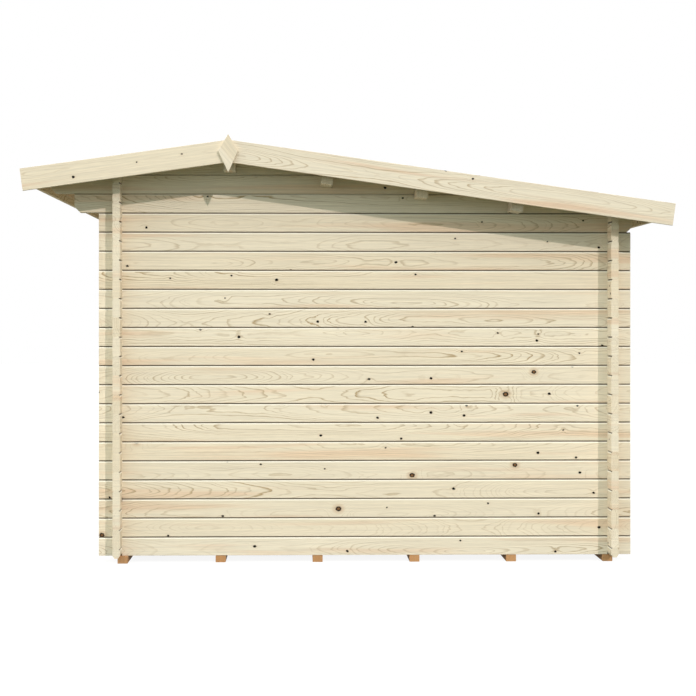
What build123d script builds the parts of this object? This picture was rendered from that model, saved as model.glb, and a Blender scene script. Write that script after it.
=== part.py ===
"""Garden shed of interlocking logs with an offset ridge, boarded roof and double door.

Millimetres. +X runs from the front to the back, +Y to the left of someone who faces
the door, +Z up. The origin is on the ground, under the middle of the roof.
"""
from build123d import *
import math
import os

# Walls, measured between their outer faces
WALL_LENGTH = 3000.0
WALL_WIDTH = 3000.0

# Logs
LOG_HEIGHT = 114.0
LOG_THICKNESS = 44.0
LOG_BEVEL_DEPTH = 8.0
LOG_DRIP_BEVEL = 2.0
LOG_TOP_BEVEL = 10.0
FOOT_BEVEL_DEPTH = 12.0
FOOT_BEVEL_HEIGHT = 18.0
LOG_STUB = 95.0
SIDE_COURSES = 18
THINNEST_TOP_LOG = 30.0
THINNEST_NECK = 20.0

# Bearers under the walls and the floor
BEARER_COUNT = 6
BEARER_WIDTH = 60.0
BEARER_HEIGHT = 40.0
FIRST_BEARER_INSET = 51.0
LAST_BEARER_INSET = 44.0
FIRST_BEARER_PROUD = 32.0

# Floor
FLOOR_THICKNESS = 19.0
FLOOR_GAP = 8.0

# Roof
ROOF_PITCH = 8.0
RIDGE_FROM_FRONT = 690.0
GABLE_RISE = 160.8
FRONT_OVERHANG = 520.0
BACK_OVERHANG = 305.0
GABLE_OVERHANG = 215.0
DECK_THICKNESS = 19.0
BARGE_WIDTH = 130.0
BARGE_THICKNESS = 18.0
EAVE_BOARD_WIDTH = 80.0
EAVE_BOARD_THICKNESS = 19.0
PURLIN_WIDTH = 70.0
PURLIN_HEIGHT = 150.0
PURLIN_REACH = 150.0
FIRST_PURLIN = 594.0
PURLIN_SPACING = 560.0
PURLIN_COUNT = 3
PURLIN_PLAY = 1.0

# Side wall logs that run on as brackets under the overhangs, past the front or back wall
LOWER_BRACKET = 240.0
UPPER_BRACKET = 385.0
BACK_LOWER_BRACKET = 107.0
BACK_UPPER_BRACKET = 200.0
BRACKET_CUT = 34.0

# Kite-shaped board on each gable's point, widest between its upper and lower part
FINIAL_WIDTH = 118.0
FINIAL_UPPER = 96.0
FINIAL_LOWER = 127.0
FINIAL_THICKNESS = 18.0
FINIAL_RISE = 30.0

# Doorway, frame and double door
DOORWAY_WIDTH = 1500.0
DOOR_COURSES = 16
FRAME_WEB = 28.0
FRAME_LAP = 26.0
FRAME_FLANGE = 14.0
FRAME_STOP = 12.0
THRESHOLD_HEIGHT = 30.0
DOOR_THICKNESS = 38.0
DOOR_CLEARANCE = 3.0
DOOR_STILE = 95.0
DOOR_PANEL_THICKNESS = 20.0

# Door hinges and handle
HINGE_COUNT = 3
HINGE_END_DISTANCE = 180.0
HINGE_LENGTH = 90.0
HINGE_RADIUS = 6.0
HINGE_PLATE_WIDTH = 45.0
HINGE_PLATE_THICKNESS = 2.5
HANDLE_HEIGHT = 1000.0
HANDLE_PLATE_WIDTH = 40.0
HANDLE_PLATE_HEIGHT = 170.0
HANDLE_PLATE_THICKNESS = 3.0
HANDLE_REACH = 45.0
HANDLE_LEVER = 120.0
HANDLE_RADIUS = 8.0

# Places that follow from the sizes above
ROOF_LENGTH = FRONT_OVERHANG + WALL_LENGTH + BACK_OVERHANG
FRONT = FRONT_OVERHANG - ROOF_LENGTH / 2
BACK = FRONT + WALL_LENGTH
RIDGE = FRONT + RIDGE_FROM_FRONT
SIDE = WALL_WIDTH / 2
SIN = math.sin(math.radians(ROOF_PITCH))
COS = math.cos(math.radians(ROOF_PITCH))
WALL_BOTTOM = BEARER_HEIGHT
NOTCH = LOG_HEIGHT / 4
HALF_LOG = LOG_HEIGHT / 2
LOWER_BRACKET_LEVEL = WALL_BOTTOM + SIDE_COURSES * LOG_HEIGHT
UPPER_BRACKET_LEVEL = LOWER_BRACKET_LEVEL + LOG_HEIGHT
GABLE_LEVEL = UPPER_BRACKET_LEVEL + LOG_HEIGHT
RIDGE_UNDERSIDE = GABLE_LEVEL + GABLE_RISE
RIDGE_TOP = RIDGE_UNDERSIDE + DECK_THICKNESS / COS
ABOVE_ROOF = RIDGE_TOP + LOG_HEIGHT
SILL_TOP = WALL_BOTTOM + HALF_LOG
DOORWAY_TOP = SILL_TOP + DOOR_COURSES * LOG_HEIGHT
DECK_HALF_WIDTH = SIDE + GABLE_OVERHANG - BARGE_THICKNESS
FRONT_RUN = RIDGE - FRONT + FRONT_OVERHANG
BACK_RUN = BACK - RIDGE + BACK_OVERHANG
DOOR_OUTER_FACE = FRONT
OVERCUT = 5.0


def prism_along_y(points, y_low, y_high):
    """Extrude an outline of (x, z) points from y_low to y_high."""
    outline = Polyline([(x, y_low, z) for x, z in points], close=True)
    return extrude(make_face(outline), amount=y_high - y_low, dir=(0, 1, 0))


def prism_along_x(points, x_low, x_high):
    """Extrude an outline of (y, z) points from x_low to x_high."""
    outline = Polyline([(x_low, y, z) for y, z in points], close=True)
    return extrude(make_face(outline), amount=x_high - x_low, dir=(1, 0, 0))


def block(x_low, x_high, y_low, y_high, z_low, z_high):
    """A box between two corners."""
    size = (x_high - x_low, y_high - y_low, z_high - z_low)
    return Pos(x_low, y_low, z_low) * Box(*size, align=(Align.MIN, Align.MIN, Align.MIN))


def roof_point(side, along, down):
    """Point at a distance along a slope from the ridge, and square down from its top."""
    x = RIDGE + side * (along * COS - down * SIN)
    return x, RIDGE_TOP - along * SIN - down * COS


def underside(x):
    """Height of the roof boards' underside over a place in the plan."""
    return RIDGE_UNDERSIDE - abs(x - RIDGE) * SIN / COS


def above_roof_boards():
    """All the space over the underside of the roof boards."""
    ends = [RIDGE - ROOF_LENGTH, RIDGE + ROOF_LENGTH]
    low = [(ends[0], underside(ends[0])), (RIDGE, RIDGE_UNDERSIDE), (ends[1], underside(ends[1]))]
    high = [(ends[1], ABOVE_ROOF), (ends[0], ABOVE_ROOF)]
    return prism_along_y(low + high, -WALL_WIDTH, WALL_WIDTH)


def log_outline(levels, foot=False, flat_top=False):
    """Section of logs stacked between the levels.

    Each log's top edges slope out to shed rain and its bottom edges overhang them a little.
    A log that stands on its foot has wider bevels below.
    """
    half = LOG_THICKNESS / 2
    joint = half - LOG_BEVEL_DEPTH
    face = []
    for low, high in zip(levels, levels[1:]):
        face += [(joint, low), (half, low + LOG_DRIP_BEVEL), (half, high - LOG_TOP_BEVEL)]
    face.append((joint, levels[-1]))
    if foot:
        face[:2] = [(half - FOOT_BEVEL_DEPTH, levels[0]), (half, levels[0] + FOOT_BEVEL_HEIGHT)]
    if flat_top:
        face[-2:] = [(half, levels[-1])]
    return face + [(-across, height) for across, height in reversed(face)]


def logs_along_x(levels, y, x_low, x_high, **flats):
    """Courses of logs in a side wall."""
    outline = [(y + across, height) for across, height in log_outline(levels, **flats)]
    return prism_along_x(outline, x_low, x_high)


def logs_along_y(levels, x, y_low, y_high, **flats):
    """Courses of logs in the front or back wall."""
    outline = [(x + across, height) for across, height in log_outline(levels, **flats)]
    return prism_along_y(outline, y_low, y_high)


def log_levels(start, end):
    """Joints one log apart from start, with a last thin strip left in the top log."""
    levels = [start]
    while levels[-1] + LOG_HEIGHT + THINNEST_TOP_LOG < end:
        levels.append(levels[-1] + LOG_HEIGHT)
    return levels


def log_end(level, direction, reach):
    """End of a side wall's log at the front (-1) or back (+1).

    The log reaches past the crossing wall, or stops at that wall's inner face where the
    slope of the roof leaves too thin a neck over the notch.
    """
    outer = FRONT if direction < 0 else BACK
    if underside(outer) - level - NOTCH < THINNEST_NECK:
        return outer - direction * LOG_THICKNESS
    return outer + direction * reach


def crossing_columns():
    """Plan squares where the walls cross, as (x_low, x_high, y_low, y_high)."""
    columns = []
    for x_low in (FRONT, BACK - LOG_THICKNESS):
        for y_low in (-SIDE, SIDE - LOG_THICKNESS):
            columns.append((x_low, x_low + LOG_THICKNESS, y_low, y_low + LOG_THICKNESS))
    return columns


def side_log_notches():
    """Space that the front and back walls' necks take out of the side walls' logs."""
    cuts = []
    for x_low, x_high, y_low, y_high in crossing_columns():
        plan = (x_low, x_high, y_low - OVERCUT, y_high + OVERCUT)
        cuts.append(block(*plan, WALL_BOTTOM - OVERCUT, WALL_BOTTOM + NOTCH))
        joint = WALL_BOTTOM + LOG_HEIGHT
        while joint < ABOVE_ROOF:
            cuts.append(block(*plan, joint - NOTCH, joint + NOTCH))
            joint += LOG_HEIGHT
    return cuts


def cross_log_notches():
    """Space that the side walls' necks take out of the front and back walls' logs."""
    cuts = []
    for x_low, x_high, y_low, y_high in crossing_columns():
        plan = (x_low - OVERCUT, x_high + OVERCUT, y_low, y_high)
        joint = WALL_BOTTOM + HALF_LOG
        while joint < ABOVE_ROOF:
            cuts.append(block(*plan, joint - NOTCH, joint + NOTCH))
            joint += LOG_HEIGHT
    return cuts


def purlin_outline(number, play, above):
    """Section of a purlin square to the back slope, with play at its sides and over it."""
    from_ridge = FIRST_PURLIN + (number - 1) * PURLIN_SPACING
    middle = (from_ridge + DECK_THICKNESS * SIN) / COS
    sides = (middle - PURLIN_WIDTH / 2 - play, middle + PURLIN_WIDTH / 2 + play)
    top = DECK_THICKNESS - above
    bottom = DECK_THICKNESS + PURLIN_HEIGHT
    corners = [(sides[0], top), (sides[1], top), (sides[1], bottom), (sides[0], bottom)]
    return [roof_point(1, along, down) for along, down in corners]


def ridge_purlin_outline():
    """Section of the upright purlin under the ridge, planed to both slopes on top."""
    left = RIDGE - PURLIN_WIDTH / 2
    right = RIDGE + PURLIN_WIDTH / 2
    bottom = RIDGE_UNDERSIDE - PURLIN_HEIGHT
    top = [(left, underside(left)), (RIDGE, RIDGE_UNDERSIDE), (right, underside(right))]
    return top + [(right, bottom), (left, bottom)]


def purlin_notches():
    """Space for the purlins in the gable logs: they sit on the notches' floors."""
    left = RIDGE - PURLIN_WIDTH / 2 - PURLIN_PLAY
    right = RIDGE + PURLIN_WIDTH / 2 + PURLIN_PLAY
    bottom = RIDGE_UNDERSIDE - PURLIN_HEIGHT
    reach = SIDE + PURLIN_REACH
    cuts = [block(left, right, -reach, reach, bottom, ABOVE_ROOF)]
    for number in range(1, PURLIN_COUNT + 1):
        outline = purlin_outline(number, PURLIN_PLAY, LOG_HEIGHT)
        cuts.append(prism_along_y(outline, -reach, reach))
    return cuts


def bracket_cut(x_end, level, direction):
    """Corner sawn off the lower edge of a bracket log's end, square across the log."""
    inward = -direction
    points = [
        (x_end + inward * BRACKET_CUT, level),
        (x_end, level + BRACKET_CUT),
        (x_end + direction * OVERCUT, level + BRACKET_CUT),
        (x_end + direction * OVERCUT, level - OVERCUT),
        (x_end + inward * BRACKET_CUT, level - OVERCUT),
    ]
    return prism_along_y(points, -WALL_WIDTH, WALL_WIDTH)


def side_wall(y):
    """Side wall up to the brackets; its top course is longer past the back wall."""
    start = FRONT - LOG_STUB
    top_joint = LOWER_BRACKET_LEVEL - LOG_HEIGHT
    levels = [WALL_BOTTOM + LOG_HEIGHT * course for course in range(SIDE_COURSES)]
    wall = logs_along_x(levels, y, start, BACK + LOG_STUB)
    end = BACK + BACK_LOWER_BRACKET
    top_log = logs_along_x([top_joint, LOWER_BRACKET_LEVEL], y, start, end)
    return wall + (top_log - bracket_cut(end, top_joint, 1))


def lower_bracket_log(y):
    """Log that carries the lower step of the front bracket and the back's upper one."""
    level = LOWER_BRACKET_LEVEL
    start = FRONT - LOWER_BRACKET
    end = log_end(level, 1, BACK_UPPER_BRACKET)
    log = logs_along_x([level, UPPER_BRACKET_LEVEL], y, start, end)
    return log - bracket_cut(start, level, -1)


def upper_bracket_log(y):
    """Log that carries the upper step of the front bracket, cut by the slope behind."""
    level = UPPER_BRACKET_LEVEL
    start = FRONT - UPPER_BRACKET
    end = log_end(level, 1, BACK_UPPER_BRACKET)
    log = logs_along_x([level, GABLE_LEVEL], y, start, end)
    return log - bracket_cut(start, level, -1)


def gable_top(y):
    """Logs over the brackets, cut by both slopes."""
    levels = log_levels(GABLE_LEVEL, RIDGE_UNDERSIDE) + [ABOVE_ROOF]
    start = log_end(GABLE_LEVEL, -1, UPPER_BRACKET)
    end = log_end(GABLE_LEVEL, 1, BACK_UPPER_BRACKET)
    return logs_along_x(levels, y, start, end, flat_top=True)


def cross_wall(x_low, y_low, y_high, levels, **flats):
    """Courses of the front or back wall between two places along Y."""
    return logs_along_y(levels, x_low + LOG_THICKNESS / 2, y_low, y_high, **flats)


def sloping_board(side, width, thickness, outer_face):
    """Barge board: sawn plumb at the ridge and square at the eave."""
    run = (FRONT_RUN if side < 0 else BACK_RUN) / COS
    points = [
        (RIDGE, RIDGE_TOP),
        roof_point(side, run, 0),
        roof_point(side, run, width),
        (RIDGE, RIDGE_TOP - width / COS),
    ]
    low, high = sorted((outer_face, outer_face - math.copysign(thickness, outer_face)))
    return prism_along_y(points, low, high)


def roof_boards(side):
    """Boards of one slope, as one sheet from the ridge to the back of the eave board."""
    run = (FRONT_RUN if side < 0 else BACK_RUN) / COS - EAVE_BOARD_THICKNESS
    points = [
        (RIDGE, RIDGE_TOP),
        roof_point(side, run, 0),
        roof_point(side, run, DECK_THICKNESS),
        (RIDGE, RIDGE_UNDERSIDE),
    ]
    return prism_along_y(points, -DECK_HALF_WIDTH, DECK_HALF_WIDTH)


def eave_board(side):
    """Board across the roof boards' ends, between the barge boards."""
    end = (FRONT_RUN if side < 0 else BACK_RUN) / COS
    start = end - EAVE_BOARD_THICKNESS
    corners = [(start, 0), (end, 0), (end, EAVE_BOARD_WIDTH), (start, EAVE_BOARD_WIDTH)]
    points = [roof_point(side, along, down) for along, down in corners]
    return prism_along_y(points, -DECK_HALF_WIDTH, DECK_HALF_WIDTH)


def finial(direction):
    """Kite-shaped board over the joint of two barge boards."""
    top = RIDGE_TOP + FINIAL_RISE
    middle = top - FINIAL_UPPER
    points = [
        (RIDGE, top),
        (RIDGE + FINIAL_WIDTH / 2, middle),
        (RIDGE, middle - FINIAL_LOWER),
        (RIDGE - FINIAL_WIDTH / 2, middle),
    ]
    inner = direction * (SIDE + GABLE_OVERHANG)
    low, high = sorted((inner, inner + direction * FINIAL_THICKNESS))
    return prism_along_y(points, low, high)


def bearer(number):
    """Treated timber across the width; the first is longer than the others."""
    first = FRONT + FIRST_BEARER_INSET
    pitch = (BACK - LAST_BEARER_INSET - first) / (BEARER_COUNT - 1)
    middle = first + pitch * (number - 1)
    half = SIDE + (FIRST_BEARER_PROUD if number == 1 else 0)
    return block(middle - BEARER_WIDTH / 2, middle + BEARER_WIDTH / 2, -half, half, 0, BEARER_HEIGHT)


def floor():
    """Floor boards as one sheet on the bearers, clear of the walls all round."""
    edge = LOG_THICKNESS + FLOOR_GAP
    half = SIDE - edge
    return block(FRONT + edge, BACK - edge, -half, half, WALL_BOTTOM, WALL_BOTTOM + FLOOR_THICKNESS)


# The frame's depth is the wall with a flange on each face
FRAME_OUTER = FRONT - FRAME_FLANGE
FRAME_INNER = FRONT + LOG_THICKNESS + FRAME_FLANGE
STOP_FACE = DOOR_OUTER_FACE + DOOR_THICKNESS
THRESHOLD_TOP = SILL_TOP + THRESHOLD_HEIGHT
HEAD_UNDERSIDE = DOORWAY_TOP - FRAME_WEB


def frame_section(edge, inward):
    """Channel section round the logs' ends, with a stop behind the door, as (x, offset).

    edge is the doorway's edge, and inward is +1 or -1 towards the opening.
    """
    lap = edge - inward * FRAME_LAP
    web = edge + inward * FRAME_WEB
    stop = web + inward * FRAME_STOP
    return [
        (FRAME_OUTER, lap),
        (FRAME_OUTER, web),
        (STOP_FACE, web),
        (STOP_FACE, stop),
        (FRAME_INNER, stop),
        (FRAME_INNER, lap),
        (FRONT + LOG_THICKNESS, lap),
        (FRONT + LOG_THICKNESS, edge),
        (FRONT, edge),
        (FRONT, lap),
    ]


def door_jamb(direction):
    """Upright of the door frame at one side of the doorway."""
    section = frame_section(direction * DOORWAY_WIDTH / 2, -direction)
    outline = Polyline([(x, y, THRESHOLD_TOP) for x, y in section], close=True)
    height = HEAD_UNDERSIDE - FRAME_STOP - THRESHOLD_TOP
    return extrude(make_face(outline), amount=height, dir=(0, 0, 1))


def door_head():
    """Top of the door frame, resting on the jambs."""
    half = DOORWAY_WIDTH / 2
    head = prism_along_y(frame_section(DOORWAY_TOP, -1), -half - FRAME_LAP, half + FRAME_LAP)
    seat = HEAD_UNDERSIDE - FRAME_STOP
    for direction in (-1, 1):
        section = frame_section(direction * half, -direction)
        outline = Polyline([(x, y, seat) for x, y in section], close=True)
        head += extrude(make_face(outline), amount=HEAD_UNDERSIDE - seat, dir=(0, 0, 1))
    logs = block(FRONT, FRONT + LOG_THICKNESS, -half - WALL_WIDTH, -half, seat, DOORWAY_TOP)
    return head - logs - mirror(logs, Plane.XZ)


def door_threshold():
    """Sill board of the frame, over the half log."""
    half = DOORWAY_WIDTH / 2
    board = block(FRAME_OUTER, FRAME_INNER, -half, half, SILL_TOP, THRESHOLD_TOP)
    return board


def door_leaf(direction):
    """Framed leaf with a thinner boarded panel, hung on the jamb at one side."""
    hinge_edge = DOORWAY_WIDTH / 2 - FRAME_WEB - DOOR_CLEARANCE
    meeting_edge = DOOR_CLEARANCE / 2
    low, high = sorted((direction * hinge_edge, direction * meeting_edge))
    bottom = THRESHOLD_TOP + DOOR_CLEARANCE
    top = HEAD_UNDERSIDE - DOOR_CLEARANCE
    outer = DOOR_OUTER_FACE
    leaf = block(outer, outer + DOOR_THICKNESS, low, high, bottom, top)
    field = (low + DOOR_STILE, high - DOOR_STILE, bottom + DOOR_STILE, top - DOOR_STILE)
    recess = (DOOR_THICKNESS - DOOR_PANEL_THICKNESS) / 2
    leaf -= block(outer - OVERCUT, outer + recess, *field)
    return leaf - block(STOP_FACE - recess, STOP_FACE + OVERCUT, *field)


def door_hinges(direction):
    """Hinges of one leaf: a knuckle beside the frame and a plate on the stile."""
    stile_edge = DOORWAY_WIDTH / 2 - FRAME_WEB - DOOR_CLEARANCE
    lowest = THRESHOLD_TOP + DOOR_CLEARANCE + HINGE_END_DISTANCE
    highest = HEAD_UNDERSIDE - DOOR_CLEARANCE - HINGE_END_DISTANCE
    hinges = []
    for number in range(HINGE_COUNT):
        middle = lowest + (highest - lowest) * number / (HINGE_COUNT - 1)
        low, high = sorted((direction * stile_edge, direction * (stile_edge - HINGE_PLATE_WIDTH)))
        bottom = middle - HINGE_LENGTH / 2
        plate = block(
            DOOR_OUTER_FACE - HINGE_PLATE_THICKNESS, DOOR_OUTER_FACE, low, high,
            bottom, bottom + HINGE_LENGTH,
        )
        centre = (DOOR_OUTER_FACE - HINGE_RADIUS, direction * (stile_edge - HINGE_RADIUS), middle)
        hinges.append(plate + Pos(*centre) * Cylinder(HINGE_RADIUS, HINGE_LENGTH))
    return hinges


def door_handle():
    """Lever handle on the right leaf's meeting stile."""
    y = -DOOR_CLEARANCE / 2 - DOOR_STILE / 2
    height = THRESHOLD_TOP + HANDLE_HEIGHT
    plate_face = DOOR_OUTER_FACE - HANDLE_PLATE_THICKNESS
    plate = block(
        plate_face, DOOR_OUTER_FACE, y - HANDLE_PLATE_WIDTH / 2, y + HANDLE_PLATE_WIDTH / 2,
        height - HANDLE_PLATE_HEIGHT / 2, height + HANDLE_PLATE_HEIGHT / 2,
    )
    neck_middle = (plate_face + DOOR_OUTER_FACE - HANDLE_REACH) / 2
    neck_length = plate_face - (DOOR_OUTER_FACE - HANDLE_REACH)
    neck = Pos(neck_middle, y, height) * Rot(0, 90, 0) * Cylinder(HANDLE_RADIUS, neck_length)
    lever_middle = (DOOR_OUTER_FACE - HANDLE_REACH, y + HANDLE_RADIUS - HANDLE_LEVER / 2, height)
    lever = Pos(*lever_middle) * Rot(90, 0, 0) * Cylinder(HANDLE_RADIUS, HANDLE_LEVER)
    return plate + neck + lever


def build():
    """Every node of the shed, by name."""
    roof_space = above_roof_boards()
    side_cuts = side_log_notches() + purlin_notches() + [roof_space]
    cross_cuts = cross_log_notches() + [roof_space]
    nodes = {}
    for number in range(1, BEARER_COUNT + 1):
        nodes[f"bearer_{number}"] = bearer(number)
    nodes["floor_boards"] = floor()

    for name, direction in (("right", -1), ("left", 1)):
        y = direction * (SIDE - LOG_THICKNESS / 2)
        nodes[f"{name}_side_wall"] = side_wall(y) - side_cuts
        nodes[f"{name}_lower_bracket_log"] = lower_bracket_log(y) - side_cuts
        nodes[f"{name}_upper_bracket_log"] = upper_bracket_log(y) - side_cuts
        nodes[f"{name}_gable_top"] = gable_top(y) - side_cuts

    end = SIDE + LOG_STUB
    jamb = DOORWAY_WIDTH / 2
    back_levels = log_levels(SILL_TOP, underside(BACK))
    back_wall = cross_wall(
        BACK - LOG_THICKNESS, -end, end, [WALL_BOTTOM] + back_levels + [ABOVE_ROOF],
        foot=True, flat_top=True,
    )
    nodes["back_wall"] = back_wall - cross_cuts
    sill = cross_wall(FRONT, -end, end, [WALL_BOTTOM, SILL_TOP], foot=True)
    nodes["front_sill_log"] = sill - cross_cuts
    beside = [SILL_TOP + LOG_HEIGHT * course for course in range(DOOR_COURSES + 1)]
    nodes["front_wall_right"] = cross_wall(FRONT, -end, -jamb, beside) - cross_cuts
    nodes["front_wall_left"] = cross_wall(FRONT, jamb, end, beside) - cross_cuts
    over = log_levels(DOORWAY_TOP, underside(FRONT)) + [ABOVE_ROOF]
    nodes["front_wall_top"] = cross_wall(FRONT, -end, end, over, flat_top=True) - cross_cuts

    nodes["door_threshold"] = door_threshold()
    nodes["door_head"] = door_head()
    for name, direction in (("right", -1), ("left", 1)):
        nodes[f"{name}_door_jamb"] = door_jamb(direction)
        nodes[f"{name}_door_leaf"] = door_leaf(direction)
    nodes["door_hinges"] = Compound(children=door_hinges(-1) + door_hinges(1))
    nodes["door_handle"] = door_handle()

    reach = SIDE + PURLIN_REACH
    nodes["ridge_purlin"] = prism_along_y(ridge_purlin_outline(), -reach, reach)
    for number in range(1, PURLIN_COUNT + 1):
        outline = purlin_outline(number, 0, 0)
        nodes[f"purlin_{number}"] = prism_along_y(outline, -reach, reach)
    for slope, side in (("front", -1), ("back", 1)):
        nodes[f"{slope}_roof_boards"] = roof_boards(side)
        nodes[f"{slope}_eave_board"] = eave_board(side)
        for name, direction in (("right", -1), ("left", 1)):
            face = direction * (SIDE + GABLE_OVERHANG)
            board = sloping_board(side, BARGE_WIDTH, BARGE_THICKNESS, face)
            nodes[f"{name}_{slope}_barge_board"] = board
    nodes["right_finial"] = finial(-1)
    nodes["left_finial"] = finial(1)
    return nodes


os.makedirs("parts", exist_ok=True)
for node_name, shape in build().items():
    export_step(shape, f"parts/{node_name}.step")
    print(node_name, round(shape.volume))
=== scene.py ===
# %% [markdown]
# # A log shed in bare spruce
# The shed's solids come ready made and stand where they belong. This lesson gives them their
# finishes, makes the boards and fittings that are too small for the solids, and sets up the
# camera and the light. Lengths are in metres. X runs from the front wall to the back wall, Z
# runs up, and the gable side that the picture shows faces the negative Y direction.

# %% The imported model
import math
from contextlib import contextmanager
from functools import partial
from types import SimpleNamespace
import bmesh
import bpy
from mathutils import Matrix, Vector


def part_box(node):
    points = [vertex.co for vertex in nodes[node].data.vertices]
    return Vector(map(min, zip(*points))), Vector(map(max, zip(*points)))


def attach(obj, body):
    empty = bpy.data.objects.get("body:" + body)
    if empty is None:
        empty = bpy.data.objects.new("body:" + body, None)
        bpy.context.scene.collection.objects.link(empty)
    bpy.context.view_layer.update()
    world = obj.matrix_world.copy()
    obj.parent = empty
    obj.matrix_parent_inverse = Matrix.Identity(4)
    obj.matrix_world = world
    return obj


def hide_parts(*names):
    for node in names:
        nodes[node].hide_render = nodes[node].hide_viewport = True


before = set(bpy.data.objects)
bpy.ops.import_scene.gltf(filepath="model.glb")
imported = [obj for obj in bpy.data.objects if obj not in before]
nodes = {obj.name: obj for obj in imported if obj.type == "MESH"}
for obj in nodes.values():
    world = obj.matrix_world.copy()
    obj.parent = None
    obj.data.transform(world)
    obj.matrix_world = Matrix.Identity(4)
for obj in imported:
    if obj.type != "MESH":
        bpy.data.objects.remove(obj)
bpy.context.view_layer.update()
scene = bpy.context.scene

# %% [markdown]
# ## Sizes read from the solids
# Everything that is added later takes its place from the solids' own corners, so that a
# change of the solids moves it too. Only sizes that the solids don't hold are written here.

# %% Sizes
MM = 0.001
LOG_HEIGHT = 114 * MM
BARGE_WIDTH = 130 * MM
BOARD_THICKNESS = 19 * MM
PITCH = math.radians(8)
side_low, side_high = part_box("right_side_wall")
front_low, front_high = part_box("front_sill_log")
back_low, back_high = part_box("back_wall")
floor_low, floor_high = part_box("floor_boards")
front_roof_low, front_roof_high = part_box("front_roof_boards")
back_roof_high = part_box("back_roof_boards")[1]
WALL_BOTTOM = side_low.z
FRONT_FACE = front_low.x
NEAR_FACE = side_low.y
RIDGE_X = front_roof_high.x
RIDGE_TOP = front_roof_high.z
print("ridge at", round(RIDGE_X, 4), "and", round(RIDGE_TOP, 4))

# %% Directions
# Along a slope, side is -1 for the short front slope and 1 for the long back slope
UP = Vector((0, 0, 1))
BACKWARDS = Vector((1, 0, 0))
LEFTWARDS = Vector((0, 1, 0))
down_slope = {side: Vector((side * math.cos(PITCH), 0, -math.sin(PITCH))) for side in (-1, 1)}
off_slope = {side: Vector((side * math.sin(PITCH), 0, math.cos(PITCH))) for side in (-1, 1)}
ridge_point = Vector((RIDGE_X, 0, RIDGE_TOP))
print("down the back slope", down_slope[1])

# %% [markdown]
# ## Colours and nodes
# Colours are picked on a screen, so they are written as the six figures that a screen uses.
# Shaders work in linear light, and one function turns the first into the second. A second
# function adds a node, and its output can be handed straight to the next node.

# %% Colour helper
def linear(screen_colour):
    """Turn six sRGB hex figures into a linear colour with full opacity."""
    shares = [int(screen_colour[place:place + 2], 16) / 255 for place in (0, 2, 4)]
    light = [share / 12.92 if share <= 0.04045 else ((share + 0.055) / 1.055) ** 2.4 for share in shares]
    return (*light, 1.0)


# %% Node helper
def add_node(tree, kind, inputs=(), output=0, **settings):
    """Add a shader node, set its options, fill its inputs with values or links, return one output."""
    node = tree.nodes.new(kind)
    for option, value in settings.items():
        setattr(node, option, value)
    for socket, value in inputs.items() if isinstance(inputs, dict) else enumerate(inputs):
        if isinstance(value, bpy.types.NodeSocket):
            tree.links.new(value, node.inputs[socket])
        else:
            node.inputs[socket].default_value = value
    return node.outputs[output] if node.outputs else node


MATH = "ShaderNodeMath"
VECTOR = "ShaderNodeVectorMath"
JOIN = "ShaderNodeCombineXYZ"
RANGE = "ShaderNodeMapRange"
MIX = "ShaderNodeMix"
NOISE = "ShaderNodeTexNoise"
DICE = "ShaderNodeTexWhiteNoise"


# %% Starting a material
def start_material(name):
    """A new material with no nodes, and the function that adds nodes to it."""
    material = bpy.data.materials.new(name)
    material.use_nodes = True
    material.node_tree.nodes.clear()
    print("material", name)
    return material, partial(add_node, material.node_tree)


# %% Noise along the grain
def stretched_noise(add, place, per_metre, **look):
    """Noise with so many spots to a metre in each direction."""
    place = add("ShaderNodeMapping", {"Vector": place, "Scale": per_metre})
    return add(NOISE, {"Vector": place, "Scale": 1.0, **look})


# %% [markdown]
# ## Camera
# The picture was taken almost square to the gable side, from eye height and a little nearer
# the front corner. The camera is turned by under a degree and its lens is shifted for the
# rest, which keeps the walls' edges upright.

# %% Camera
VIEW_DISTANCE = 7.539
VIEW_FROM_FRONT = 1.106
VIEW_HEIGHT = 1.466
VIEW_TURN = math.radians(-0.917)
SENSOR_WIDTH = 36
FOCAL_LENGTH = 65.07
LENS_SHIFT = (0.0403, -0.0440)
camera_data = bpy.data.cameras.new("camera")
camera_data.sensor_width = SENSOR_WIDTH
camera_data.lens = FOCAL_LENGTH
camera_data.shift_x, camera_data.shift_y = LENS_SHIFT
camera = bpy.data.objects.new("camera", camera_data)
camera.location = (FRONT_FACE + VIEW_FROM_FRONT, NEAR_FACE - VIEW_DISTANCE, VIEW_HEIGHT)
camera.rotation_euler = (math.pi / 2, 0, VIEW_TURN)
scene.collection.objects.link(camera)
scene.camera = camera
print("camera at", camera.location)

# %% [markdown]
# ## Light
# A sharp sun stands high at the right, in front of the gable side: the barge boards' shadow
# falls down and to the left. Most of the light is soft and comes from high up, so the roof's
# overhang keeps it off the timber below, which stays dark as in the picture. Two weaker soft
# lights reach the door side and the far gable side.

# %% Sun and soft lights
# Each light: strength, width in degrees, direction of travel, colour
LIGHTS = {
    "sun": (1.47, 0.5, (-0.598, 1.0, -0.754), "FFF2EC"),
    "soft_front": (1.33, 50, (0.242, 0.52, -0.819), "F8FDFA"),
    "soft_door_side": (1.10, 40, (0.95, 0.06, -0.30), "FFFCF5"),
    "soft_far_side": (0.95, 40, (-0.15, -0.93, -0.33), "FFFCF5"),
}
for name, (strength, width, travel, colour) in LIGHTS.items():
    lamp_data = bpy.data.lights.new(name, "SUN")
    lamp_data.energy = strength
    lamp_data.angle = math.radians(width)
    lamp_data.color = linear(colour)[:3]
    lamp = bpy.data.objects.new(name, lamp_data)
    lamp.rotation_euler = Vector(travel).to_track_quat("-Z", "Y").to_euler()
    scene.collection.objects.link(lamp)
print("lights", list(LIGHTS))

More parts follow.
